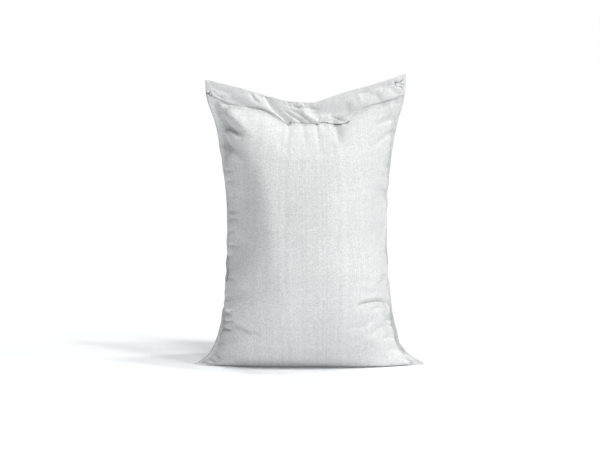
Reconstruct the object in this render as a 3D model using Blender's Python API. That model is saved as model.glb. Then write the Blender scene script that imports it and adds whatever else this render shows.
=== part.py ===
"""A filled woven sack of cement, standing on its bottom seam, in metres and +Z up.

The sack is 500 mm wide flat. It is creased flat down both sides, its two bottom corners lie
pinched on the floor, and its mouth is closed by a band that is folded over both plies.
"""

import math

import bmesh
import bpy
import numpy as np

# Sack
FLAT_WIDTH = 0.507
EDGE_HALF_THICKNESS = 0.001
LEAN = -0.008

# Height above the floor and half width, down the outer edge of the side creases.
SIDE_OUTLINE = (
    (0.000, FLAT_WIDTH / 2),
    (0.010, 0.2440),
    (0.020, 0.2290),
    (0.040, 0.2065),
    (0.080, 0.1910),
    (0.150, 0.1790),
    (0.250, 0.1725),
    (0.350, 0.1720),
    (0.420, 0.1780),
    (0.500, 0.1900),
    (0.582, 0.2120),
)
# The same where the round body meets the flat crease or, near the floor, the pinched corner.
BODY_OUTLINE = (
    (0.000, 0.1760),
    (0.020, 0.1840),
    (0.040, 0.1870),
    (0.080, 0.1810),
    (0.150, 0.1690),
    (0.250, 0.1625),
    (0.350, 0.1620),
    (0.420, 0.1680),
    (0.500, 0.1800),
    (0.582, 0.2020),
)
# Half depth at the middle of the sack. Its heights too are those of the side creases: the middle of
# the sack is lower than its sides by the dip of the mouth.
DEPTH_OUTLINE = (
    (0.000, 0.0640),
    (0.011, 0.0775),
    (0.022, 0.0875),
    (0.045, 0.1010),
    (0.090, 0.1210),
    (0.168, 0.1405),
    (0.280, 0.1485),
    (0.392, 0.1395),
    (0.470, 0.1215),
    (0.526, 0.0940),
    (0.560, 0.0610),
    (0.582, EDGE_HALF_THICKNESS),
)
# Height and half thickness of the pinched corner where it leaves the body.
CORNER_OUTLINE = (
    (0.000, 0.0400),
    (0.022, 0.0340),
    (0.042, 0.0200),
    (0.065, 0.0050),
    (0.090, EDGE_HALF_THICKNESS),
    (0.582, EDGE_HALF_THICKNESS),
)
WAIST_SQUARENESS = 2.35
BASE_SQUARENESS = 4.0
SQUARENESS_FADE_HEIGHT = 0.03

# Closing band
BAND_LOW_LEFT = 0.580
BAND_LOW_MIDDLE = 0.520
BAND_LOW_RIGHT = 0.584
BAND_HIGH_LEFT = 0.611
BAND_HIGH_MIDDLE = 0.565
BAND_HIGH_RIGHT = 0.624
BAND_RISE_POWER = 1.3
BAND_BOW = 0.020
BAND_PLY = 0.001
GAP = 0.0003

RING_COUNT = 26
ARC_STEPS = 24
CORNER_STEPS = 3


def along(outline, height):
    """Reads a smooth curve through the outline's points at a height."""
    heights, values = np.array(outline).T
    slopes = np.gradient(values, heights)
    i = int(np.clip(np.searchsorted(heights, height) - 1, 0, len(heights) - 2))
    span = heights[i + 1] - heights[i]
    s = (height - heights[i]) / span
    ease = s * s * (3 - 2 * s)
    start = (s**3 - 2 * s**2 + s) * span * slopes[i]
    end = (s**3 - s**2) * span * slopes[i + 1]
    return float(values[i] + (values[i + 1] - values[i]) * ease + start + end)


def band_low(r):
    """Height of the band's lower edge, with r from -1 at its left end to 1 at its right end."""
    side = BAND_LOW_LEFT if r < 0 else BAND_LOW_RIGHT
    rise = math.sin(math.pi / 2 * abs(r)) ** 2
    return BAND_LOW_MIDDLE + (side - BAND_LOW_MIDDLE) * rise


def band_high(r):
    side = BAND_HIGH_LEFT if r < 0 else BAND_HIGH_RIGHT
    return BAND_HIGH_MIDDLE + (side - BAND_HIGH_MIDDLE) * abs(r) ** BAND_RISE_POWER


def bow(r, share):
    """How far the middle stands forward of the ends, growing with the share of the height."""
    return -BAND_BOW * math.cos(math.pi / 2 * r) * share**3


def half_section(share):
    """Points of one horizontal section from left to right: x, centre y, half thickness and r."""
    height = share * SIDE_OUTLINE[-1][0]
    outer = along(SIDE_OUTLINE, height)
    body = along(BODY_OUTLINE, height)
    depth = along(DEPTH_OUTLINE, height)
    corner = max(along(CORNER_OUTLINE, height), EDGE_HALF_THICKNESS)
    fade = math.exp(-height / SQUARENESS_FADE_HEIGHT)
    power = 2 / (WAIST_SQUARENESS + (BASE_SQUARENESS - WAIST_SQUARENESS) * fade)

    points = []
    for step in range(CORNER_STEPS):
        s = step / CORNER_STEPS
        thickness = EDGE_HALF_THICKNESS + (corner - EDGE_HALF_THICKNESS) * s
        points.append((-outer + (outer - body) * s, thickness))
    for step in range(ARC_STEPS + 1):
        angle = math.pi * step / ARC_STEPS
        c, s = math.cos(angle), max(math.sin(angle), 0)
        points.append((-math.copysign(abs(c) ** power, c) * body, max(depth * s**power, corner)))
    for step in range(CORNER_STEPS):
        points.append((-points[CORNER_STEPS - 1 - step][0], points[CORNER_STEPS - 1 - step][1]))

    section = []
    for x, thickness in points:
        r = x / outer
        section.append((x + LEAN * share, bow(r, share), thickness, r))
    return section


def loop_points(section, z_of):
    """The closed loop of a section: along the front from left to right, back along the rear."""
    front = [(x, y - t, z_of(r)) for x, y, t, r in section]
    rear = [(x, y + t, z_of(r)) for x, y, t, r in reversed(section)]
    return front + rear


def skin(bm, loops):
    """Faces between consecutive closed loops of vertices."""
    for low, high in zip(loops, loops[1:]):
        count = len(low)
        for i in range(count):
            j = (i + 1) % count
            bm.faces.new((low[i], low[j], high[j], high[i]))


def finish(bm, name, colour, roughness):
    bmesh.ops.recalc_face_normals(bm, faces=bm.faces)
    mesh = bpy.data.meshes.new(name)
    bm.to_mesh(mesh)
    bm.free()
    mesh.shade_smooth()
    mesh.set_sharp_from_angle(angle=math.radians(50))
    material = bpy.data.materials.new(name)
    material.use_nodes = True
    shader = material.node_tree.nodes["Principled BSDF"]
    shader.inputs["Base Color"].default_value = colour
    shader.inputs["Roughness"].default_value = roughness
    shader.inputs["Metallic"].default_value = 0
    mesh.materials.append(material)
    obj = bpy.data.objects.new(name, mesh)
    bpy.context.scene.collection.objects.link(obj)
    return obj


def build_filled_sack():
    """Body, side creases, floor corners and the flat mouth that stands up inside the band."""
    bm = bmesh.new()
    loops = []
    for ring in range(RING_COUNT + 1):
        share = (1 - math.cos(math.pi * ring / RING_COUNT)) / 2
        points = loop_points(half_section(share), lambda r: share * band_low(r))
        loops.append([bm.verts.new(p) for p in points])
    mouth = half_section(1)
    mouth_top = BAND_PLY + GAP
    points = loop_points(mouth, lambda r: band_high(r) - mouth_top)
    loops.append([bm.verts.new(p) for p in points])
    skin(bm, loops)
    bm.faces.new(loops[0])
    top, last = loops[-1], len(loops[-1]) - 1
    for i in range(len(mouth) - 1):
        bm.faces.new((top[i], top[i + 1], top[last - i - 1], top[last - i]))
    return finish(bm, "filled_sack", (0.80, 0.81, 0.82, 1), 0.6)


def build_closing_band():
    """A strip folded over the flat mouth, one leg in front of it and one behind."""
    inner = EDGE_HALF_THICKNESS + GAP
    outer = inner + BAND_PLY
    bm = bmesh.new()
    loops = []
    for x, y, _, r in half_section(1):
        low = band_low(r) + GAP
        high = band_high(r)
        slot = high - BAND_PLY
        profile = (
            (-outer, low),
            (-outer, high),
            (outer, high),
            (outer, low),
            (inner, low),
            (inner, slot),
            (-inner, slot),
            (-inner, low),
        )
        loops.append([bm.verts.new((x, y + dy, z)) for dy, z in profile])
    skin(bm, loops)
    bm.faces.new(loops[0])
    bm.faces.new(loops[-1])
    return finish(bm, "closing_band", (0.76, 0.77, 0.78, 1), 0.55)


for old in list(bpy.data.objects):
    bpy.data.objects.remove(old)
build_filled_sack()
build_closing_band()
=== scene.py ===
import math
import bpy
import numpy as np
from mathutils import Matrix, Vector


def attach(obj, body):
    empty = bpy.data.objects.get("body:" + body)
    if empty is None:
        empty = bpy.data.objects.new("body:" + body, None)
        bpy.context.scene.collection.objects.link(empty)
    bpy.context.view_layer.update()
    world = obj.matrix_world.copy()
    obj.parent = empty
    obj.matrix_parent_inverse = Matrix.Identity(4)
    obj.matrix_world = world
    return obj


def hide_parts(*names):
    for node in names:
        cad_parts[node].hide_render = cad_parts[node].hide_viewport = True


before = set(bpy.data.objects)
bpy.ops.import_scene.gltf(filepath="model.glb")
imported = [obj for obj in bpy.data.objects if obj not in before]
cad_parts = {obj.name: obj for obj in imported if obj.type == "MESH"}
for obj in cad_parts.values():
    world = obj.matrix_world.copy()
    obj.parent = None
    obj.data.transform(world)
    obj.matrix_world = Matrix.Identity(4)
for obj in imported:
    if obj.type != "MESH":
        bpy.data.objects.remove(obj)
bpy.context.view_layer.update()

VIEW_WIDTH = 1.284
VIEW_CENTRE = Vector((-0.020, 0, 0.303))
VIEW_DISTANCE = 4.0
VIEW_ELEVATION = math.radians(4.7)


def aimed(data, place, target):
    """An object of this camera or lamp at place, turned towards target."""
    thing = bpy.data.objects.new(data.name, data)
    thing.location = place
    thing.rotation_euler = (Vector(target) - Vector(place)).to_track_quat("-Z", "Y").to_euler()
    bpy.context.scene.collection.objects.link(thing)
    return thing


view_camera = bpy.data.cameras.new("view_camera")
view_camera.lens = view_camera.sensor_width * VIEW_DISTANCE / VIEW_WIDTH
eye = VIEW_CENTRE + VIEW_DISTANCE * Vector((0, -math.cos(VIEW_ELEVATION), math.sin(VIEW_ELEVATION)))
bpy.context.scene.camera = aimed(view_camera, eye, VIEW_CENTRE)

NEUTRAL, COOL = (1.0, 0.998, 0.995), (0.93, 0.97, 1.0)
# Each lamp's name, degrees to the right of the camera and up from the floor, strength, width in degrees
# and colour.
STUDIO_LAMPS = (
    ("right_top_lamp", 70, 65, 0.65, 5, NEUTRAL),
    ("front_top_lamp", 15, 58, 0.54, 5, NEUTRAL),
    ("middle_top_lamp", 25, 52, 0.46, 5, NEUTRAL),
    ("right_front_lamp", 45, 50, 0.49, 5, NEUTRAL),
    ("soft_right_front_lamp", 45, 35, 0.47, 12, NEUTRAL),
    ("soft_right_side_lamp", 70, 30, 0.44, 12, NEUTRAL),
    ("low_right_lamp", 70, 5, 0.12, 12, NEUTRAL),
    ("back_left_lamp", -150, 70, 0.61, 12, COOL),
    ("back_top_lamp", 180, 80, 0.39, 12, NEUTRAL),
)
for lamp_name, turn, rise, strength, width, colour in STUDIO_LAMPS:
    lamp = bpy.data.lights.new(lamp_name, "SUN")
    lamp.energy = strength
    lamp.angle = math.radians(width)
    lamp.color = colour
    turn, rise = math.radians(turn), math.radians(rise)
    toward_lamp = (math.sin(turn) * math.cos(rise), -math.cos(turn) * math.cos(rise), math.sin(rise))
    aimed(lamp, VIEW_DISTANCE * Vector(toward_lamp), (0, 0, 0))

sky = bpy.data.worlds.new("white_sky")
bpy.context.scene.world = sky
sky.use_nodes = True
sky_nodes = sky.node_tree.nodes
sky_light = sky_nodes["Background"]
sky_light.inputs["Color"].default_value = (0.88, 0.94, 1.0, 1)
sky_light.inputs["Strength"].default_value = 0.03
sky_seen = sky_nodes.new("ShaderNodeBackground")
sky_seen.inputs["Strength"].default_value = 1.0
sky_seen.inputs["Color"].default_value = (1, 1, 1, 1)
sky_pick = sky_nodes.new("ShaderNodeMixShader")
sky.node_tree.links.new(sky_nodes.new("ShaderNodeLightPath").outputs["Is Camera Ray"], sky_pick.inputs[0])
sky.node_tree.links.new(sky_light.outputs[0], sky_pick.inputs[1])
sky.node_tree.links.new(sky_seen.outputs[0], sky_pick.inputs[2])
sky.node_tree.links.new(sky_pick.outputs[0], sky_nodes["World Output"].inputs["Surface"])
bpy.context.scene.view_settings.view_transform = "Standard"

bpy.ops.mesh.primitive_circle_add(vertices=96, radius=14, fill_type="NGON", location=(0, 0, 0))
studio_floor = bpy.context.object
studio_floor.name = "studio_floor"
floor_paint = bpy.data.materials.new("floor_paint")
floor_paint.use_nodes = True
floor_shader = floor_paint.node_tree.nodes["Principled BSDF"]
floor_shader.inputs["Base Color"].default_value = (0.965, 0.975, 0.99, 1)
floor_shader.inputs["Roughness"].default_value = 0.9
floor_shader.inputs["Emission Color"].default_value = (1, 1, 1, 1)
floor_shader.inputs["Emission Strength"].default_value = 0.07
studio_floor.data.materials.append(floor_paint)

# Filled sack. A flat tube of woven plastic tape cloth, pressed with a crease down each side, folded
# and glued shut across the bottom and packed tight with cement. It is made as its flat pattern, hung
# by its mouth corners, and blown up by cloth simulation as the heavy powder fills it, on a hard floor.
SACK_WIDTH = 0.507
SACK_LENGTH = 0.740
MOUTH = 0.048
SIDE_CREASE = 0.010
BODY_LENGTH = SACK_LENGTH - MOUTH
CLOTH_CELL = 0.0082
EDGE_CELL = 0.0042
BASE_CELL = 0.0062

# Outlines of the standing sack as seen from the front, in metres from its middle and from the floor.
LEFT_SIDE = (
    (-0.253, 0.0), (-0.240, 0.010), (-0.227, 0.019), (-0.211, 0.039), (-0.193, 0.083), (-0.183, 0.152),
    (-0.177, 0.270), (-0.178, 0.360), (-0.188, 0.441), (-0.200, 0.513), (-0.217, 0.563), (-0.220, 0.580),
)
RIGHT_SIDE = (
    (0.253, 0.0), (0.244, 0.011), (0.231, 0.019), (0.202, 0.041), (0.183, 0.101), (0.173, 0.171),
    (0.166, 0.295), (0.170, 0.398), (0.184, 0.503), (0.202, 0.568), (0.204, 0.584),
)
MOUTH_EDGE = (
    (-0.213, 0.611), (-0.137, 0.592), (-0.092, 0.579), (-0.055, 0.569), (-0.033, 0.566), (0.005, 0.564),
    (0.026, 0.569), (0.076, 0.586), (0.119, 0.598), (0.164, 0.611), (0.200, 0.624),
)
MOUTH_FOOT = (
    (-0.220, 0.580), (-0.204, 0.576), (-0.176, 0.566), (-0.146, 0.559), (-0.120, 0.556), (-0.095, 0.547),
    (-0.071, 0.530), (-0.054, 0.523), (-0.020, 0.521), (0.019, 0.520), (0.045, 0.525), (0.066, 0.535),
    (0.087, 0.544), (0.107, 0.551), (0.143, 0.565), (0.181, 0.577), (0.204, 0.584),
)
# Half section through the middle, from the middle of the base out and up the belly, as depth and height.
BELLY = (
    (0.0, 0.0), (0.022, 0.0), (0.040, 0.001), (0.061, 0.010), (0.083, 0.032), (0.106, 0.073), (0.127, 0.126),
    (0.141, 0.185), (0.145, 0.235), (0.140, 0.305), (0.123, 0.385), (0.093, 0.450), (0.052, 0.497), (0.0, 0.519),
)
BASE_SQUARENESS, BELLY_SQUARENESS = 5.0, 2.1
SQUARE_HEIGHT = 0.26


def curve_through(points, steps=24):
    """A smooth curve through the points, and the share of its length at each of its own points."""
    p = np.array(points, float)
    p = np.vstack([2 * p[0] - p[1], p, 2 * p[-1] - p[-2]])
    t = np.linspace(0, 1, steps, endpoint=False)[:, None]
    runs = []
    for a, b, c, d in zip(p, p[1:], p[2:], p[3:]):
        cubic = (3 * b - a - 3 * c + d) * t**3 + (2 * a - 5 * b + 4 * c - d) * t**2
        runs.append(0.5 * (2 * b + (c - a) * t + cubic))
    line = np.vstack(runs + [p[-2:-1]])
    length = np.r_[0, np.cumsum(np.linalg.norm(np.diff(line, axis=0), axis=1))]
    return line, length / length[-1]


def point_at(curve, share):
    line, lengths = curve
    return np.array([np.interp(share, lengths, line[:, k]) for k in range(2)])


def height_over(points, x):
    line, _ = curve_through(points)
    return np.interp(x, line[:, 0], line[:, 1])


def smooth_step(t):
    t = np.clip(t, 0, 1)
    return t * t * (3 - 2 * t)


def graded(end, coarse, fine, reach, start_cell=None):
    """Lines from 0 to end, coarse ones that close up to fine within reach of the end, and of the start."""
    lines = [0.0]
    while lines[-1] < end:
        step = fine + (coarse - fine) * min(1, (end - lines[-1]) / reach)
        if start_cell:
            step = min(step, start_cell + (coarse - start_cell) * min(1, lines[-1] / reach))
        lines.append(lines[-1] + step)
    lines = np.array(lines)
    return lines * end / lines[-1]


half = graded(SACK_WIDTH / 2 - SIDE_CREASE, CLOTH_CELL, EDGE_CELL, 0.10)
half = np.r_[half, SACK_WIDTH / 2 - SIDE_CREASE / 2, SACK_WIDTH / 2]
across = np.r_[-half[:0:-1], half]
up = graded(BODY_LENGTH, CLOTH_CELL, EDGE_CELL, 0.16, BASE_CELL)
crease_columns = 2
mouth_row = len(up) - 1
up = np.r_[up, BODY_LENGTH + MOUTH * np.arange(1, 9) / 8]
columns, rows = len(across) - 1, len(up) - 1


def standing_panel(side):
    """The front (side -1) or back (side 1) of the pattern, laid on a rough standing shape of the sack."""
    panel = np.zeros((rows + 1, columns + 1, 3))
    left, right, belly = (curve_through(line) for line in (LEFT_SIDE, RIGHT_SIDE, BELLY))
    turn = np.linspace(0, math.pi, 400)
    foot_middle = height_over(MOUTH_FOOT, 0.0)
    for row, height in enumerate(up):
        share = min(height / BODY_LENGTH, 1)
        a, b, c = (point_at(line, share) for line in (left, right, belly))
        reach, middle = (b[0] - a[0]) / 2, (b[0] + a[0]) / 2
        squareness = BELLY_SQUARENESS + (BASE_SQUARENESS - BELLY_SQUARENESS) * smooth_step(1 - c[1] / SQUARE_HEIGHT)
        round_x = -np.sign(np.cos(turn)) * abs(np.cos(turn)) ** (2 / squareness)
        round_y = np.sin(turn) ** (2 / squareness)
        arc = np.r_[0, np.cumsum(np.hypot(np.diff(reach * round_x), np.diff(c[0] * round_y)))]
        r = np.interp(across / SACK_WIDTH + 0.5, arc / arc[-1], round_x)
        depth = c[0] * np.interp(across / SACK_WIDTH + 0.5, arc / arc[-1], round_y)
        x = middle + reach * r
        ends = np.where(r < 0, a[1], b[1])
        foot = height_over(MOUTH_FOOT, x)
        near_floor = (ends - c[1]) * r**4
        near_mouth = (foot - foot_middle) * (ends - c[1]) / np.maximum(np.where(r < 0, foot[0], foot[-1]) - foot_middle, 0.01)
        z = c[1] + near_floor + (near_mouth - near_floor) * smooth_step((share - 0.2) / 0.8)
        y = side * depth - MOUTH_BOW * np.cos(math.pi / 2 * r) * share**3
        if height > BODY_LENGTH:
            z = foot + (height_over(MOUTH_EDGE, x) - foot) * (height - BODY_LENGTH) / MOUTH
            y = -MOUTH_BOW * np.cos(math.pi / 2 * r)
        panel[row] = np.stack([x, y, z], 1)
    return panel


MOUTH_BOW = 0.020
front, back = standing_panel(-1), standing_panel(1)

# The two plies share their rims. Numbers of the front's points run first, then the back's inner ones.
front_ids = np.arange((rows + 1) * (columns + 1)).reshape(rows + 1, columns + 1)


def back_ids_for(ids):
    inner = np.zeros(ids.shape, bool)
    inner[1:-1, 1:-1] = True
    out = ids.copy()
    out[inner] = ids.size + np.arange(inner.sum())
    return out, inner


def faces_of(front_side, back_side):
    f, b = front_side, back_side
    quads = np.stack([f[:-1, :-1], f[:-1, 1:], f[1:, 1:], f[1:, :-1]], -1).reshape(-1, 4)
    quads_back = np.stack([b[:-1, :-1], b[1:, :-1], b[1:, 1:], b[:-1, 1:]], -1).reshape(-1, 4)
    return np.r_[quads, quads_back]


back_ids, inner = back_ids_for(front_ids)


def joined(front_points, back_points, inner):
    rim = (front_points + back_points) / 2
    return np.r_[np.where(inner[..., None], front_points, rim).reshape(-1, 3), back_points[inner]]


flat_x, flat_z = np.meshgrid(across, up)
PLY = 0.0004
# The cloth's rest lengths are those of the rough standing shape, a little longer everywhere and more so
# down the sides, where the real sack gathers. The rest of its spare length is in gathers finer than a cell.
SLACK, SIDE_SLACK = 0.008, 0.022
toward_side = abs(2 * flat_x / SACK_WIDTH)
spare = np.stack([np.full_like(flat_x, 1 + SLACK)] * 2 + [1 + SLACK + SIDE_SLACK * toward_side**4], -1)
rest_front, rest_back = front * spare, back * spare

sewn = [(front_ids[j, i], back_ids[j, i]) for j in range(1, rows) for i in (crease_columns, columns - crease_columns)]
sewn += [
    (front_ids[j, i], back_ids[j, i])
    for j in range(mouth_row, rows)
    for i in range(crease_columns + 1, columns - crease_columns)
]

sack_mesh = bpy.data.meshes.new("sack_pattern")
start_points = joined(front, back, inner)
faces = faces_of(front_ids, back_ids)
sack_mesh.from_pydata(
    start_points.tolist(), [tuple(map(int, e)) for e in sewn], [tuple(map(int, f)) for f in faces]
)
pattern = bpy.data.objects.new("sack_pattern", sack_mesh)
bpy.context.scene.collection.objects.link(pattern)
pattern.shape_key_add(name="Basis")
rest_key = pattern.shape_key_add(name="rest")
rest_key.data.foreach_set("co", joined(rest_front, rest_back, inner).ravel())


def weighted(name, ids, shares):
    group = pattern.vertex_groups.new(name=name)
    for i, share in zip(ids.ravel(), shares.ravel()):
        group.add([int(i)], float(share), "REPLACE")


# The powder presses on the cloth between the side creases, and leaves the shoulders slack under the mouth.
SHOULDER_REACH, SHOULDER_SLACK = 0.17, 0.75
packed = (slice(0, mouth_row + 1), slice(crease_columns, columns - crease_columns + 1))
near_mouth = smooth_step(1 - (BODY_LENGTH - flat_z[packed]) / SHOULDER_REACH)
fullness = 1 - SHOULDER_SLACK * near_mouth * (0.35 + 0.65 * abs(2 * flat_x[packed] / SACK_WIDTH) ** 1.5)
weighted("packed", np.r_[front_ids[packed], back_ids[packed]], np.r_[fullness, fullness])
corner_ids = front_ids[[rows, rows, 0, 0], [0, columns, 0, columns]]
weighted("held", corner_ids, np.ones(4))

bpy.ops.mesh.primitive_cube_add(size=1, location=(0, 0, -0.05))
hard_floor = bpy.context.object
hard_floor.scale = (3, 3, 0.1)
hard_floor.modifiers.new("Collision", "COLLISION")
hard_floor.collision.thickness_outer = 0.001
hard_floor.collision.cloth_friction = 30


def settle(points, frames, time_scale, on_floor):
    """The pattern's points after this many frames of cloth simulation from the given ones."""
    pattern.data.shape_keys.key_blocks["Basis"].data.foreach_set("co", points.ravel())
    pattern.data.vertices.foreach_set("co", points.ravel())
    pattern.modifiers.clear()
    # Cloth reads its flat rest shape only where another mesh-making modifier stands before it.
    pattern.modifiers.new("one_copy", "ARRAY").count = 1
    cloth = pattern.modifiers.new("cloth", "CLOTH")
    tape = cloth.settings
    tape.quality = 8
    tape.mass = 0.0005
    tape.tension_stiffness = tape.compression_stiffness = 40
    tape.shear_stiffness = 15
    tape.bending_stiffness = 0.3
    tape.tension_damping = tape.compression_damping = tape.shear_damping = 20
    tape.air_damping = 10
    tape.time_scale = time_scale
    tape.use_pressure = True
    tape.uniform_pressure_force = 10
    tape.fluid_density = 1.3
    tape.vertex_group_pressure = "packed"
    tape.vertex_group_mass = "held"
    tape.rest_shape_key = rest_key
    tape.use_sewing_springs = True
    cloth.collision_settings.use_collision = on_floor
    cloth.collision_settings.distance_min = 0.001
    cloth.collision_settings.collision_quality = 3
    for moment in range(1, frames + 1):
        bpy.context.scene.frame_set(moment)
    shaped = pattern.evaluated_get(bpy.context.evaluated_depsgraph_get()).to_mesh()
    out = np.empty(len(points) * 3, np.float32)
    shaped.vertices.foreach_get("co", out)
    return out.reshape(-1, 3).astype(float)


FLOOR_GAP = 0.0015
rng = np.random.default_rng(3)
settled = start_points + rng.normal(0, 0.0004, start_points.shape)
settled[:, 2] = np.maximum(settled[:, 2], FLOOR_GAP)
settled = settle(settled, 8, 0.3, False)
settled[:, 2] = np.maximum(settled[:, 2], FLOOR_GAP)
settled[corner_ids] = start_points[corner_ids] + (0, 0, FLOOR_GAP)
settled = settle(settled, 20, 0.6, True)
for helper in (pattern, hard_floor):
    bpy.data.objects.remove(helper)
front, back = settled[front_ids], settled[back_ids]

# In the mouth and the side creases the two plies lie flat on each other.
def unit(vectors):
    return vectors / np.maximum(np.linalg.norm(vectors, axis=-1, keepdims=True), 1e-12)


def panel_normals(panel):
    return unit(np.cross(np.gradient(panel, axis=1), np.gradient(panel, axis=0)))


def softened(values, times):
    for _ in range(times):
        values = np.concatenate([values[:1], (values[:-2] + 2 * values[1:-1] + values[2:]) / 4, values[-1:]])
    return values


middle = (front + back) / 2
for rim, seam, body in ((0, 2, 5), (columns, columns - 2, columns - 5)):
    outward = unit(softened(middle[:, rim] - middle[:, seam], 12))
    outward = unit(outward + 1.4 * unit(softened(middle[:, seam] - middle[:, body], 12)))
    middle[:, seam] = softened(middle[:, seam], 2)
    middle[:, rim] = middle[:, seam] + outward * SIDE_CREASE
    middle[:, (rim + seam) // 2] = middle[:, seam] + outward * SIDE_CREASE / 2
pressed = np.zeros(front.shape[:2], bool)
pressed[mouth_row:] = True
pressed[:, : crease_columns + 1] = True
pressed[:, columns - crease_columns :] = True
facing = panel_normals(middle)
front = np.where(pressed[..., None], middle + facing * PLY, front)
back = np.where(pressed[..., None], middle - facing * PLY, back)


# The sack's outline is drawn to the real one's, in the plane that the camera sees through its middle.
def seen(points):
    """Where each point shows in the upright plane through the sack's middle, as (x, z)."""
    toward = -eye.y / (points[..., 1] - eye.y)
    return np.stack([eye.x + (points[..., 0] - eye.x) * toward, eye.z + (points[..., 2] - eye.z) * toward], -1)


def drawn_to_outline(front, back):
    heights = np.linspace(0, 0.62, 125)
    spots = np.r_[seen(front).reshape(-1, 2), seen(back).reshape(-1, 2)]
    scales = []
    for side, outline in ((-1, LEFT_SIDE), (1, RIGHT_SIDE)):
        line, _ = curve_through(outline)
        wanted = np.interp(heights, line[:, 1], side * line[:, 0])
        found = np.array([(side * spots[abs(spots[:, 1] - z) < 0.006, 0]).max(initial=0.01) for z in heights])
        ratio = wanted / found
        ratio[heights > 0.56] = ratio[heights <= 0.56][-1]
        ratio = np.convolve(np.pad(ratio, 5, "edge"), np.hanning(13)[1:-1] / np.hanning(13).sum(), "valid")
        scales.append(ratio)
    out = []
    for panel in (front, back):
        x, z = panel[..., 0], panel[..., 2]
        right = smooth_step((x / 0.12 + 1) / 2)
        ratio = np.interp(z, heights, scales[0]) * (1 - right) + np.interp(z, heights, scales[1]) * right
        out.append(panel * np.stack([ratio, np.ones_like(x), np.ones_like(x)], -1))
    return out


def mouth_drawn(front, back):
    x, z = np.moveaxis(seen((front + back) / 2), -1, 0)
    rise = np.clip((flat_z - BODY_LENGTH) / MOUTH, 0, 1)
    foot, edge = height_over(MOUTH_FOOT, x), height_over(MOUTH_EDGE, x)
    shift = foot + (edge - foot) * rise - z
    shift[:mouth_row] = shift[mouth_row]
    shift = shift * smooth_step(1 - (BODY_LENGTH - flat_z) / 0.16)
    lift = np.stack([np.zeros_like(shift), np.zeros_like(shift), shift], -1)
    return front + lift, back + lift


front, back = drawn_to_outline(front, back)
front, back = mouth_drawn(front, back)
front, back = drawn_to_outline(front, back)

# Low down the belly rounds in under itself to the flat base.
TUCK, TUCK_HEIGHT = 0.34, 0.13
for panel in (front, back):
    panel[..., 1] *= 1 - TUCK * np.clip(1 - panel[..., 2] / TUCK_HEIGHT, 0, 1) ** 2


def refined(panel):
    """The panel with a line added between every two, on a smooth surface. Its rims stay in place."""
    for axis in (0, 1):
        p = np.moveaxis(panel, axis, 0)
        out = np.empty((2 * len(p) - 1, *p.shape[1:]))
        out[1::2] = (p[:-1] + p[1:]) / 2
        out[::2] = p
        out[2:-1:2] = (p[:-2] + 6 * p[1:-1] + p[2:]) / 8
        panel = np.moveaxis(out, 0, axis)
    return panel


for _ in range(2):
    front, back = refined(front), refined(back)
    flat_x, flat_z = refined(flat_x[..., None])[..., 0], refined(flat_z[..., None])[..., 0]
REFINED = 4


# Folds. Each is a path in the plane that the camera sees, pressed into the cloth along its normal.
def fold(panels, path, depth, near, far, start=0.0, end=0.0):
    """Presses a valley into the panels, near wide on the left of its path and far wide on the right.

    The valley fades out over the share of its length start at its first point and end at its last.
    """
    line, share = curve_through(path, 10)
    spots = seen(panels[0])
    reach = 3 * max(near, far)
    low, high = line.min(0) - reach, line.max(0) + reach
    close = ((spots > low) & (spots < high)).all(-1)
    if len(panels) == 1:
        close &= ~pressed_in
    p = spots[close][:, None, :]
    a, run = line[:-1], np.diff(line, axis=0)
    t = np.clip(((p - a) * run).sum(-1) / (run**2).sum(-1), 0, 1)
    away = p - a - run * t[..., None]
    distance = np.linalg.norm(away, axis=-1)
    pick = distance.argmin(1)
    every = np.arange(len(pick))
    distance = distance[every, pick]
    on_left = run[pick, 0] * away[every, pick, 1] - run[pick, 1] * away[every, pick, 0] > 0
    along = share[pick] + t[every, pick] * (share[pick + 1] - share[pick])
    strength = np.ones_like(along)
    if start:
        strength *= smooth_step(along / start)
    if end:
        strength *= smooth_step((1 - along) / end)
    press = depth * strength * np.exp(-((distance / np.where(on_left, near, far)) ** 2))
    for panel, facing in zip(panels, facings):
        panel[close] -= facing[close] * press[:, None]


pressed_in = np.zeros(front.shape[:2], bool)
pressed_in[:, : crease_columns * REFINED - 1] = True
pressed_in[:, -crease_columns * REFINED + 1 :] = True
pressed_in[mouth_row * REFINED + 2 :] = True
front_facing = panel_normals(front)
facings = (front_facing, front_facing)
grid_columns = np.arange(front.shape[1])

# The left flank is packed tight and smooth.
def blurred(panel, times):
    smooth = softened(panel, times)
    return np.moveaxis(softened(np.moveaxis(smooth, 1, 0), times), 0, 1)


spot_x, spot_z = np.moveaxis(seen(front), -1, 0)
flank = smooth_step((-0.04 - spot_x) / 0.05) * smooth_step((spot_z - 0.07) / 0.04) * smooth_step((0.45 - spot_z) / 0.06)
flank = flank * smooth_step((grid_columns - crease_columns * REFINED - 2) / 8)
front += (blurred(front, 90) - front) * flank[..., None]

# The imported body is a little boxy: its left side is flat up to a soft upright edge, and another broad
# rise runs down from the right of the mouth.
fold([front], [(-0.148, 0.470), (-0.143, 0.400), (-0.141, 0.300), (-0.144, 0.170)], 0.006, 0.022, 0.022, 0.3, 0.4)
fold([front], [(-0.110, 0.470), (-0.098, 0.419), (-0.089, 0.350), (-0.082, 0.260), (-0.078, 0.150)], -0.005, 0.026, 0.026, 0.3, 0.4)
fold([front], [(0.085, 0.480), (0.062, 0.430), (0.046, 0.355), (0.046, 0.220)], -0.004, 0.030, 0.030, 0.2, 0.5)
fold([front], [(0.145, 0.460), (0.143, 0.360), (0.143, 0.220)], 0.003, 0.014, 0.014, 0.3, 0.4)

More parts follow.
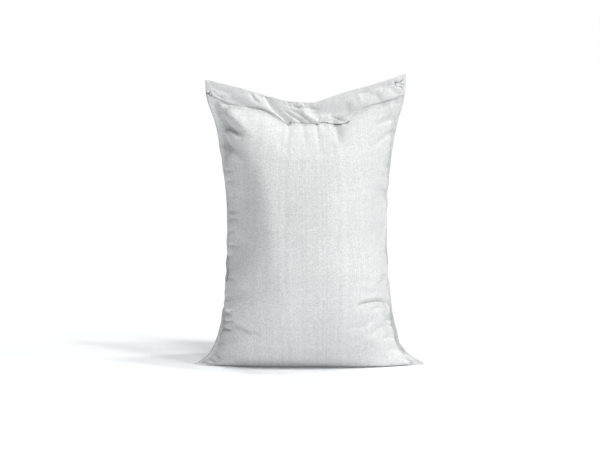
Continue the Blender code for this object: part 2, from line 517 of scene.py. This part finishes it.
# The left shoulder hangs in a long shaded valley from the mouth's corner, with a pinch at the crease.
fold([front], [(-0.207, 0.566), (-0.193, 0.536), (-0.170, 0.510), (-0.138, 0.488)], 0.0085, 0.010, 0.007, 0.1, 0.3)
fold([front], [(-0.180, 0.555), (-0.166, 0.536), (-0.142, 0.514), (-0.115, 0.494)], -0.0070, 0.014, 0.011, 0.3, 0.4)
fold([front], [(-0.181, 0.504), (-0.165, 0.495), (-0.148, 0.481)], -0.0045, 0.005, 0.006, 0.2, 0.5)
fold([front], [(-0.190, 0.490), (-0.172, 0.472), (-0.154, 0.452), (-0.130, 0.420)], 0.0060, 0.010, 0.008, 0.0, 0.6)
fold([front], [(-0.200, 0.563), (-0.189, 0.558), (-0.178, 0.548)], -0.0030, 0.004, 0.004, 0.2, 0.4)
# Gathers fan out under the middle of the mouth.
fold([front], [(-0.041, 0.520), (-0.045, 0.492), (-0.054, 0.465)], 0.0025, 0.006, 0.005, 0.0, 0.7)
fold([front], [(-0.014, 0.520), (-0.011, 0.492), (-0.004, 0.455)], 0.0025, 0.006, 0.005, 0.0, 0.7)
fold([front], [(0.014, 0.520), (0.018, 0.488), (0.025, 0.450)], 0.0030, 0.006, 0.004, 0.0, 0.7)
fold([front], [(0.049, 0.525), (0.057, 0.501), (0.062, 0.470)], 0.0065, 0.012, 0.005, 0.0, 0.5)
# The right shoulder is drawn up in soft valleys to pinches at its crease.
fold([front], [(0.187, 0.530), (0.170, 0.525), (0.151, 0.519), (0.128, 0.500)], 0.0055, 0.004, 0.009, 0.1, 0.6)
fold([front], [(0.183, 0.503), (0.162, 0.491), (0.143, 0.476), (0.124, 0.456)], 0.0045, 0.005, 0.005, 0.0, 0.6)
fold([front], [(0.187, 0.513), (0.177, 0.504), (0.168, 0.494)], 0.004, 0.002, 0.003, 0.2, 0.4)
fold([front], [(0.138, 0.560), (0.168, 0.568), (0.192, 0.573)], 0.004, 0.006, 0.003, 0.3, 0.2)
# The one deep fold on the lower right, and the smaller ones over and under it.
fold([front], [(0.174, 0.128), (0.168, 0.137), (0.154, 0.140), (0.128, 0.137), (0.090, 0.126)], 0.0100, 0.0050, 0.0030, 0.1, 0.4)
fold([front], [(0.168, 0.127), (0.154, 0.131), (0.128, 0.129), (0.100, 0.121)], -0.0030, 0.004, 0.006, 0.2, 0.4)
fold([front], [(0.147, 0.184), (0.130, 0.182), (0.108, 0.184)], 0.0025, 0.004, 0.005, 0.3, 0.4)
fold([front], [(0.174, 0.191), (0.160, 0.195), (0.145, 0.193)], 0.0030, 0.004, 0.003, 0.1, 0.5)
fold([front], [(0.172, 0.223), (0.160, 0.222), (0.147, 0.218)], 0.0030, 0.004, 0.004, 0.1, 0.6)
fold([front], [(0.184, 0.097), (0.173, 0.100), (0.158, 0.098)], 0.0035, 0.004, 0.003, 0.0, 0.5)
fold([front], [(0.186, 0.086), (0.175, 0.087), (0.162, 0.082)], 0.0030, 0.003, 0.003, 0.0, 0.5)
fold([front], [(0.193, 0.056), (0.175, 0.061), (0.150, 0.055)], 0.0050, 0.004, 0.004, 0.0, 0.5)
fold([front], [(0.204, 0.027), (0.186, 0.034), (0.160, 0.028)], 0.0045, 0.004, 0.005, 0.0, 0.5)
# Folds round the bottom corners, which are drawn out to their tips.
fold([front], [(0.222, 0.002), (0.212, 0.011), (0.196, 0.020)], 0.004, 0.003, 0.004, 0.1, 0.4)
fold([front], [(0.240, 0.010), (0.229, 0.018), (0.215, 0.023)], 0.004, 0.003, 0.003, 0.1, 0.3)
fold([front], [(-0.226, 0.022), (-0.215, 0.014), (-0.198, 0.003)], 0.004, 0.003, 0.004, 0.1, 0.3)
fold([front], [(-0.214, 0.034), (-0.203, 0.022), (-0.186, 0.010)], 0.004, 0.004, 0.003, 0.1, 0.4)
fold([front], [(-0.236, 0.013), (-0.228, 0.006), (-0.219, 0.001)], 0.003, 0.003, 0.003, 0.1, 0.3)
# Short puckers where the left side gathers at its crease.
for height, length, depth in ((0.188, 0.022, 3), (0.150, 0.018, 3), (0.115, 0.020, 4), (0.083, 0.022, 4), (0.052, 0.024, 5)):
    inset = np.interp(height, [z for _, z in LEFT_SIDE], [x for x, _ in LEFT_SIDE]) + 0.006
    path = [(inset, height), (inset + length / 2, height - 0.003), (inset + length, height - 0.008)]
    fold([front], path, depth / 1600, 0.003, 0.004, 0.0, 0.5)

# Down each side the two plies are pinched together at the crease, tighter at some places than at others.
# The cloth beside it is drawn into small gathers there.
PINCH, PINCH_WIDTH = 0.0028, 3
GATHER_DEPTH = 0.0028
seam_column = crease_columns * REFINED
back_facing = -panel_normals(back)
for line_column, side in ((seam_column + 1, -1), (front.shape[1] - 2 - seam_column, 1)):
    tight = np.interp(flat_z[:, 0], np.arange(0, 0.8, 0.011), rng.random(73) ** 2)
    tight = tight * smooth_step((BODY_LENGTH - flat_z[:, 0]) / 0.03)
    press = PINCH * tight[:, None] * np.exp(-(((grid_columns - line_column) / PINCH_WIDTH) ** 2))
    front -= front_facing * press[..., None]
    back -= back_facing * press[..., None]
    height = 0.03
    while height < 0.50:
        for panel, facing in ((front, front_facing), (back, back_facing)):
            spot = np.abs(flat_z[:, 0] - height - 0.03).argmin()
            a = seen(panel)[spot, line_column]
            length, drop = rng.uniform(0.012, 0.030), rng.uniform(-0.006, 0.004)
            path = [a, a - (side * length / 2, drop * 0.4), a - (side * length, drop)]
            facings = (facing,)
            fold([panel], path, GATHER_DEPTH * rng.uniform(0.3, 1), 0.0025, 0.0035, 0.0, 0.7)
        height += rng.uniform(0.018, 0.042)
facings = (front_facing, front_facing)

# Folds in the flat mouth go through every ply of it. Its cloth is too wide there, so it laps in the middle.
mouth = [front, back]
fold(mouth, [(-0.095, 0.580), (-0.091, 0.569), (-0.082, 0.554), (-0.070, 0.541), (-0.058, 0.531), (-0.043, 0.516)], 0.0062, 0.012, 0.0024, 0.05, 0.05)
fold(mouth, [(-0.096, 0.582), (-0.087, 0.568), (-0.078, 0.556)], 0.0022, 0.003, 0.010, 0.1, 0.7)
fold(mouth, [(-0.125, 0.585), (-0.120, 0.576), (-0.112, 0.567), (-0.099, 0.558)], 0.0024, 0.0022, 0.0045, 0.1, 0.5)
fold(mouth, [(-0.119, 0.582), (-0.112, 0.574), (-0.102, 0.566)], -0.0016, 0.004, 0.002, 0.2, 0.4)
fold(mouth, [(-0.058, 0.550), (-0.046, 0.541), (-0.023, 0.526), (-0.014, 0.520)], 0.0032, 0.0045, 0.0022, 0.3, 0.1)
fold(mouth, [(-0.052, 0.554), (-0.035, 0.546), (-0.011, 0.532), (0.004, 0.521)], 0.0026, 0.0040, 0.0024, 0.3, 0.1)
fold(mouth, [(-0.060, 0.562), (-0.030, 0.556), (0.004, 0.550), (0.030, 0.549)], 0.0022, 0.0050, 0.0024, 0.3, 0.3)
fold(mouth, [(-0.020, 0.545), (-0.003, 0.537), (0.010, 0.529), (0.021, 0.516)], -0.0036, 0.0040, 0.010, 0.3, 0.0)
fold(mouth, [(-0.010, 0.547), (0.018, 0.542), (0.059, 0.543), (0.084, 0.551), (0.098, 0.560)], 0.0045, 0.016, 0.008, 0.2, 0.2)
fold(mouth, [(0.040, 0.534), (0.060, 0.529), (0.084, 0.519)], 0.0030, 0.0050, 0.0030, 0.2, 0.1)
fold(mouth, [(-0.212, 0.600), (-0.190, 0.590), (-0.150, 0.578)], 0.0020, 0.006, 0.005, 0.2, 0.5)
fold(mouth, [(-0.206, 0.584), (-0.185, 0.574), (-0.150, 0.566)], 0.0014, 0.003, 0.002, 0.2, 0.4)
fold(mouth, [(0.075, 0.573), (0.130, 0.590), (0.185, 0.607)], 0.0015, 0.005, 0.004, 0.3, 0.3)
fold(mouth, [(0.100, 0.586), (0.108, 0.574), (0.112, 0.560)], -0.0012, 0.004, 0.006, 0.2, 0.3)
# Crinkles of the stiff coating, close together in the dip of the mouth and at its two ends.
CRINKLED = ((-0.028, 0.559, 0.020, 18), (0.003, 0.557, 0.010, 6), (0.190, 0.606, 0.012, 16), (-0.209, 0.583, 0.006, 9))
for middle_x, middle_z, spread, count in CRINKLED:
    for _ in range(count):
        x, z = middle_x + rng.uniform(-spread, spread), middle_z + rng.uniform(-0.009, 0.006)
        turn, length = rng.uniform(-0.9, 0.9), rng.uniform(0.004, 0.009)
        step = np.array([math.cos(turn), math.sin(turn)]) * length
        path = [np.array([x, z]) - step, np.array([x, z]), np.array([x, z]) + step]
        fold(mouth, path, rng.uniform(0.0012, 0.0028), 0.0022, 0.0016, 0.4, 0.4)

# Where a deep fold beside the crease would push one ply through the other, the two lie against each other.
apart = ((front - back) * front_facing).sum(-1)
lift = np.maximum(2 * PLY - apart, 0) / 2
lift[pressed_in] = 0
front += front_facing * lift[..., None]
back -= front_facing * lift[..., None]
front[..., 2] = np.maximum(front[..., 2], FLOOR_GAP)
back[..., 2] = np.maximum(back[..., 2], FLOOR_GAP)


def panel_object(name, front, back, flat_x, flat_z):
    """One closed mesh of a front and a back ply that share their rims, with the pattern as its UV map."""
    ids = np.arange(front.shape[0] * front.shape[1]).reshape(front.shape[:2])
    ids_back, inner = back_ids_for(ids)
    faces = faces_of(ids, ids_back)
    mesh = bpy.data.meshes.new(name)
    mesh.from_pydata(joined(front, back, inner).tolist(), [], [tuple(map(int, f)) for f in faces])
    half_faces = len(faces) // 2
    spots = np.stack([flat_x, flat_z], -1).reshape(-1, 2)
    behind = np.stack([flat_x + SACK_WIDTH, flat_z], -1).reshape(-1, 2)
    corner_spots = np.r_[spots[faces_of(ids, ids)[:half_faces]], behind[faces_of(ids, ids)[half_faces:]]]
    uv = mesh.uv_layers.new(name="pattern")
    uv.data.foreach_set("uv", corner_spots.ravel())
    mesh.shade_smooth()
    thing = bpy.data.objects.new(name, mesh)
    bpy.context.scene.collection.objects.link(thing)
    return thing


# Every second line is kept, and every row low down, where the folds are sharpest.
fine_rows = np.arange(front.shape[0])
fine_rows = fine_rows[(fine_rows % 2 == 0) | (flat_z[:, 0] < 0.21)]
kept = np.ix_(fine_rows, np.arange(0, front.shape[1], 2))
sack = panel_object("woven_sack", front[kept], back[kept], flat_x[kept], flat_z[kept])


# Woven cloth. Flat plastic tapes 2.6 mm wide pass over and under each other, each a little off its
# neighbour in height, tone and gloss, which gives the cloth its fine grain and faint upright ribs.
# The colour also carries painted shade: darker in the dips between tapes and in the gaps where they cross.
class Shade:
    """A number or colour in a material, so that shader maths is written as an expression."""

    def __init__(self, tree, socket):
        self.tree, self.socket = tree, socket

    def node(self, kind, settings=(), **sockets):
        made = self.tree.nodes.new("ShaderNode" + kind)
        for name, value in dict(settings).items():
            setattr(made, name, value)
        for name, value in sockets.items():
            socket = made.inputs[int(name[1:])] if name[0] == "_" else made.inputs[name.replace("_", " ")]
            if isinstance(value, Shade):
                self.tree.links.new(value.socket, socket)
            else:
                socket.default_value = value
        return made

    def math(self, operation, *values):
        values = {f"_{i}": value for i, value in enumerate(values)}
        return Shade(self.tree, self.node("Math", {"operation": operation}, **values).outputs[0])

    def __add__(self, other):
        return self.math("ADD", self, other)

    def __sub__(self, other):
        return self.math("SUBTRACT", self, other)

    def __mul__(self, other):
        return self.math("MULTIPLY", self, other)

    def __truediv__(self, other):
        return self.math("DIVIDE", self, other)

    def __rsub__(self, other):
        return self.math("SUBTRACT", other, self)

    __radd__, __rmul__ = __add__, __mul__


def cloth_material(name, tone, roughness, tape, relief, grain, crinkle):
    """Woven tape cloth of this tone, with its weave's relief in metres, and the contrast of its grain and of the shade
    painted into its weave.
    """
    material = bpy.data.materials.new(name)
    material.use_nodes = True
    tree = material.node_tree
    shader = tree.nodes["Principled BSDF"]
    start = Shade(tree, None)
    place = start.node("UVMap", {"uv_map": "pattern"}).outputs[0]
    parts = start.node("SeparateXYZ", _0=Shade(tree, place)).outputs
    warp, weft = Shade(tree, parts[0]) / tape, Shade(tree, parts[1]) / tape
    warp_number, weft_number = warp.math("FLOOR", warp), weft.math("FLOOR", weft)
    over = warp.math("MODULO", warp_number + weft_number + 1000, 2)

    def noise_of(settings, **sockets):
        return Shade(tree, start.node("TexNoise", settings, **sockets).outputs[0])

    def chance(x, y, seed):
        spot = start.node("CombineXYZ", _0=x, _1=y, _2=seed).outputs[0]
        return Shade(tree, start.node("TexWhiteNoise", _0=Shade(tree, spot)).outputs["Value"])

    def hump(value):
        return value.math("SINE", value.math("FRACT", value) * math.pi)

    warp_chance = chance(warp_number, 0.0, 1.0)
    weft_chance = chance(weft_number, 0.0, 2.0)
    cell_chance = chance(warp_number, weft_number, 3.0)
    warp_height = hump(warp) * 0.35 + hump(weft) * 0.65 * over
    weft_height = hump(weft) * 0.35 + hump(warp) * 0.65 * (1 - over)
    weave = warp.math("MAXIMUM", warp_height * over, weft_height * (1 - over))
    spot = Shade(tree, place)
    broad = noise_of({"noise_dimensions": "2D"}, Vector=spot, Scale=16.0, Detail=3.0)
    fine = noise_of({"noise_dimensions": "2D"}, Vector=spot, Scale=620.0, Detail=1.0)
    height = weave * 0.6 + cell_chance * 0.35 + warp_chance * 0.15 + weft_chance * 0.1 + fine * 0.9
    # Painted shade: the gaps at the corners of each cell, where the tapes cross, are darkened at random.
    corner = (1 - hump(warp)) * (1 - hump(weft))
    pinhole_shade = corner * corner * chance(warp_number, weft_number, 4.0)
    if crinkle:
        dents = noise_of({"noise_dimensions": "2D"}, Vector=spot, Scale=70.0, Detail=4.0, Distortion=1.2)
        height = height + dents * crinkle
    bump = start.node("Bump", Height=height, Strength=1.0, Distance=relief)
    tree.links.new(bump.outputs[0], shader.inputs["Normal"])
    # The random tone of each tape and cell and the noise are the cloth's own grain. The weave term is painted light and
    # shade, lighter on the tapes' crowns and darker in their dips, and the corner gaps take painted shade.
    light = (cell_chance - 0.5) * grain + (warp_chance - 0.5) * (grain * 0.35) + (weft_chance - 0.5) * (grain * 0.2)
    light = light + (broad - 0.5) * (grain * 0.4) + (fine - 0.5) * grain + (weave - 0.6) * (grain * 0.5)
    light = light - pinhole_shade * (grain * 2)
    dark = [c * (1 - grain) for c in tone]
    bright = [min(1.0, c * (1 + grain)) for c in tone]
    colour = start.node(
        "Mix", {"data_type": "RGBA"}, Factor=light / (2 * grain) + 0.5, _6=(*dark, 1), _7=(*bright, 1)
    )
    tree.links.new(colour.outputs[2], shader.inputs["Base Color"])
    gloss = roughness + (cell_chance - 0.5) * 0.16 + (fine - 0.5) * 0.1
    tree.links.new(gloss.socket, shader.inputs["Roughness"])
    shader.inputs["Specular IOR Level"].default_value = 0.45
    return material


SACK_TONE = (0.80, 0.803, 0.80)
sack.data.materials.append(cloth_material("woven_sack_cloth", SACK_TONE, 0.52, 0.0023, 0.0007, 0.20, 0.0))
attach(sack, "root")
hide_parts("filled_sack")

# Closing band. A strip of the same woven cloth, smooth with its coating, folded lengthwise over the
# flat mouth and sealed down on both faces. It follows every fold of the mouth under it, and its lower
# edges stand off the swelling sack.
BAND_PLY, BAND_RISE = 0.0004, 0.0006
BAND_FLARE, FLARE_REACH = 0.0013, 0.008
BAND_ROWS = 44
BACK_DROP = 0.004
# The band's lower edge as seen from the front. It hangs lower where its folds lap over each other.
BAND_FOOT = (
    (-0.220, 0.586), (-0.214, 0.584), (-0.199, 0.576), (-0.184, 0.568), (-0.167, 0.561), (-0.145, 0.557),
    (-0.122, 0.556), (-0.108, 0.5565), (-0.091, 0.550), (-0.072, 0.538), (-0.058, 0.526), (-0.0435, 0.5155),
    (-0.0395, 0.5225), (-0.024, 0.521), (-0.011, 0.521), (0.004, 0.520), (0.0205, 0.517), (0.024, 0.5235),
    (0.036, 0.522), (0.045, 0.5185), (0.066, 0.518), (0.0845, 0.517), (0.0875, 0.530), (0.097, 0.541),
    (0.109, 0.5505), (0.123, 0.5575), (0.137, 0.561), (0.153, 0.5665), (0.169, 0.5715), (0.184, 0.576),
    (0.204, 0.582),
)


# How far the front edge gapes along its length, from 0 where it is sealed down to 1.
BAND_GAPE = (
    (-0.220, 0.4), (-0.200, 0.5), (-0.180, 0.1), (-0.130, 0.1), (-0.118, 0.8), (-0.095, 0.8), (-0.085, 0.1),
    (-0.055, 0.2), (-0.045, 1.0), (-0.036, 0.2), (0.004, 0.1), (0.015, 1.0), (0.024, 1.0), (0.030, 0.1),
    (0.045, 0.5), (0.080, 1.0), (0.090, 0.0), (0.125, 0.0), (0.140, 0.8), (0.190, 1.0), (0.204, 0.4),
)


def rows_at(values, places):
    """The values of a panel's columns at these places, given as rows and parts of a row for each column."""
    low = np.clip(places.astype(int), 0, len(values) - 2)
    part = (places - low).reshape(places.shape + (1,) * (values.ndim - 2))
    below = np.take_along_axis(values, low.reshape(part.shape), 0)
    above = np.take_along_axis(values, low.reshape(part.shape) + 1, 0)
    return below + (above - below) * part


def band_leg(panel, facing, first_rows, gape):
    """One leg of the band over a panel: its outer and inner points, from its lower edge up, and its pattern."""
    places = first_rows + (len(panel) - 1 - first_rows) * np.linspace(0, 1, BAND_ROWS)[:, None]
    height = rows_at(flat_z, places)
    flare = BAND_FLARE * gape * smooth_step(1 - (height - height[0]) / FLARE_REACH)
    points, outward = rows_at(panel, places), unit(rows_at(facing, places))
    layers = [points + outward * (BAND_RISE + ply + flare)[..., None] for ply in (BAND_PLY, 0)]
    return layers, height


band_facing = panel_normals(front)
first_rows = []
for column in range(front.shape[1]):
    spots = seen(front[-16 * REFINED :, column])
    wanted = np.interp(spots[8 * REFINED, 0], *np.array(BAND_FOOT).T)
    first_rows.append(np.interp(wanted, spots[:, 1], np.arange(len(front) - 16 * REFINED, len(front))))
gape = np.interp(seen(front[mouth_row * REFINED])[:, 0], *np.array(BAND_GAPE).T)
(outer_front, inner_front), front_height = band_leg(front, band_facing, np.array(first_rows), gape)
back_row = np.interp(BODY_LENGTH - BACK_DROP, flat_z[:, 0], np.arange(len(flat_z)))
back_rows = np.full(front.shape[1], back_row)
(outer_back, inner_back), back_height = band_leg(back, -panel_normals(back), back_rows, 0.3)


def loop_of(front_layer, back_layer, over):
    """Rows of the band from its front lower edge, over the top of the mouth, to its back lower edge."""
    top = (front_layer[-1] + back_layer[-1]) / 2 + (0, 0, over)
    return np.concatenate([front_layer, top[None], back_layer[::-1]])


outer = loop_of(outer_front, outer_back, BAND_RISE + BAND_PLY)
inside = loop_of(inner_front, inner_back, BAND_RISE)
END_LIFT = 0.0008
for layer, push in ((outer, END_LIFT + 0.0004), (inside, END_LIFT)):
    layer[:, 0] += push * unit(layer[:, 0] - layer[:, 3])
    layer[:, -1] += push * unit(layer[:, -1] - layer[:, -4])
turns, stations = outer.shape[:2]
outer_ids = np.arange(turns * stations).reshape(turns, stations)
inner_ids = outer_ids + turns * stations


def strips(a, b):
    return np.stack([a[:-1], a[1:], b[1:], b[:-1]], -1)


band_faces = [
    np.stack([outer_ids[:-1, :-1], outer_ids[:-1, 1:], outer_ids[1:, 1:], outer_ids[1:, :-1]], -1).reshape(-1, 4),
    np.stack([inner_ids[:-1, :-1], inner_ids[1:, :-1], inner_ids[1:, 1:], inner_ids[:-1, 1:]], -1).reshape(-1, 4),
    strips(inner_ids[0], outer_ids[0]),
    strips(outer_ids[-1], inner_ids[-1]),
    strips(outer_ids[:, 0], inner_ids[:, 0]),
    strips(inner_ids[:, -1], outer_ids[:, -1]),
]
band_mesh = bpy.data.meshes.new("folded_band")
band_points = np.r_[outer.reshape(-1, 3), inside.reshape(-1, 3)]
band_faces = np.concatenate(band_faces)
band_mesh.from_pydata(band_points.tolist(), [], [tuple(map(int, f)) for f in band_faces])
down_band = np.concatenate([front_height, front_height[-1:], 2 * SACK_LENGTH - back_height[::-1]])
along_band = np.broadcast_to(flat_x[0], down_band.shape)
band_spots = np.stack([along_band, down_band], -1).reshape(-1, 2)
band_uv = band_mesh.uv_layers.new(name="pattern")
band_uv.data.foreach_set("uv", np.r_[band_spots, band_spots][band_faces].ravel())
band_mesh.shade_smooth()
band = bpy.data.objects.new("folded_band", band_mesh)
bpy.context.scene.collection.objects.link(band)
BAND_TONE = (0.80, 0.803, 0.80)
band.data.materials.append(cloth_material("coated_band_cloth", BAND_TONE, 0.30, 0.0023, 0.00035, 0.09, 1.8))
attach(band, "root")
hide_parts("closing_band")
